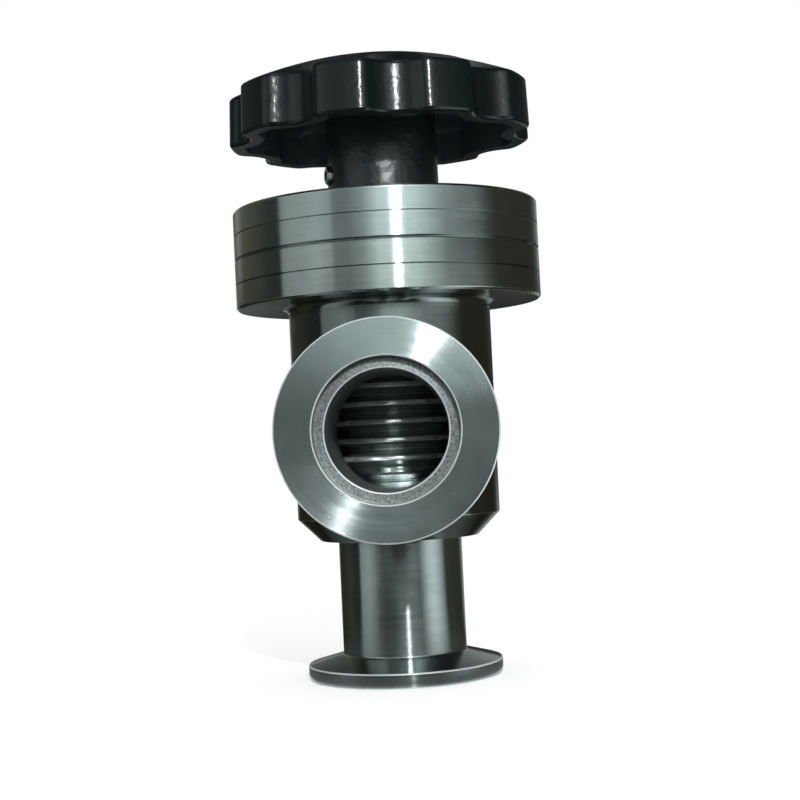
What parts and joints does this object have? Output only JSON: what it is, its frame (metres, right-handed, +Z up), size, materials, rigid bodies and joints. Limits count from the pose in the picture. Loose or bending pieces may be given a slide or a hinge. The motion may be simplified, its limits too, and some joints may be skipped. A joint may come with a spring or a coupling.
{
  "type": "vacuum angle valve",
  "caption": "Right-angle vacuum valve with clamp-flange ports, a bellows-sealed disc on a sliding stem, and a domed scalloped handwheel that rises as it opens.",
  "frame": {"origin": "centre of the lower port's sealing face", "axes": "+Z up the stem towards the handwheel, -Y out of the side port, +X to the right when looking into the side port"},
  "size_m": [0.063, 0.0815, 0.1272],
  "materials": {
    "body_steel": "turned stainless steel, fine rings around the axis",
    "port_steel": "turned stainless steel, faced sealing surfaces",
    "bonnet_steel": "turned stainless steel, fine rings around the axis",
    "inner_steel": "machined stainless steel",
    "bellows_steel": "bright thin stainless steel",
    "fastener_steel": "plain steel",
    "seal_rubber": "black fluoroelastomer",
    "nut_bronze": "turned bronze",
    "insert_brass": "turned brass",
    "wheel_plastic": "glossy black moulded phenolic"
  },
  "bodies": {
    "valve": {"valve_body": "body_steel", "lower_port": "port_steel", "side_port": "port_steel", "bellows_plate": "inner_steel", "joint_seal": "seal_rubber", "bonnet": "bonnet_steel", "bonnet_screws": "fastener_steel", "drive_nut": "nut_bronze", "nut_pin": "fastener_steel", "nut_clip": "fastener_steel", "guide_bush": "nut_bronze", "guide_key": "fastener_steel", "bellows": "bellows_steel"},
    "stem": {"valve_disc": "inner_steel", "disc_seal": "seal_rubber", "bellows_lower_ring": "inner_steel", "valve_stem": "inner_steel", "thrust_ball": "fastener_steel", "spindle_clip": "fastener_steel"},
    "wheel": {"spindle": "inner_steel", "handwheel": "wheel_plastic", "wheel_insert": "insert_brass", "set_screw": "fastener_steel"}
  },
  "joints": [
    {"name": "stem_lift", "type": "slide", "parent": "valve", "child": "stem", "axis": [0, 0, 1], "range_m": [0, 0.0105], "deforming": ["bellows"]},
    {"name": "handwheel_turn", "type": "hinge", "parent": "stem", "child": "wheel", "pos_m": [0, 0, 0.11], "axis": [0, 0, 1], "range_deg": [0, 1260]}
  ],
  "couplings": [
    {"joint": "stem_lift", "follows": "handwheel_turn", "m_per_rad": 0.00047746}
  ]
}
